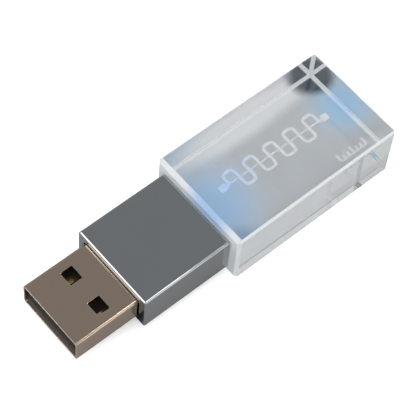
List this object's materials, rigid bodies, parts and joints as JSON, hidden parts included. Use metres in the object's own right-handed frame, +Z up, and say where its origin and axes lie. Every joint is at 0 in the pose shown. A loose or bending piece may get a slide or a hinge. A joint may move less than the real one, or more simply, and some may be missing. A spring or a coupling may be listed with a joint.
{
  "type": "usb flash drive",
  "caption": "USB flash drive: a bevelled clear glass block glued behind a polished metal housing that holds a type-A plug, lit from inside by blue lamps.",
  "frame": {"origin": "below the middle of the drive's overall box, on the flat surface that the glass block rests on", "axes": "+X runs along the drive from the plug's tip to the glass block's far end, +Y across its width, +Z up through its thickness"},
  "size_m": [0.0574, 0.0182, 0.0104],
  "materials": {
    "glass": "polished",
    "clear_glue": "gloss",
    "plated_housing": "gloss",
    "milky_plastic": "satin",
    "carrier_plastic": "matte",
    "plated_steel": "gloss",
    "black_plastic": "satin",
    "board_laminate": "satin",
    "chip_epoxy": "matte",
    "crystal_can": "satin",
    "capacitor_ceramic": "satin",
    "resistor_ceramic": "satin",
    "lamp_lens": "gloss",
    "solder": "satin",
    "gold_contact": "satin"
  },
  "bodies": {
    "root": {"glass_block": "glass", "glue_film": "clear_glue", "metal_housing": "plated_housing", "light_guide": "milky_plastic", "carrier_lower": "carrier_plastic", "carrier_upper": "carrier_plastic", "plug_shell": "plated_steel", "plug_insulator": "black_plastic", "circuit_board": "board_laminate", "flash_memory_chip": "chip_epoxy", "controller_chip": "chip_epoxy", "clock_crystal": "crystal_can", "voltage_regulator": "chip_epoxy", "capacitors": "capacitor_ceramic", "resistors": "resistor_ceramic", "blue_lamp_left": "lamp_lens", "blue_lamp_right": "lamp_lens", "contact_solder": "solder", "tab_solder": "solder", "contact_power": "gold_contact", "contact_data_minus": "gold_contact", "contact_data_plus": "gold_contact", "contact_ground": "gold_contact"}
  },
  "joints": []
}
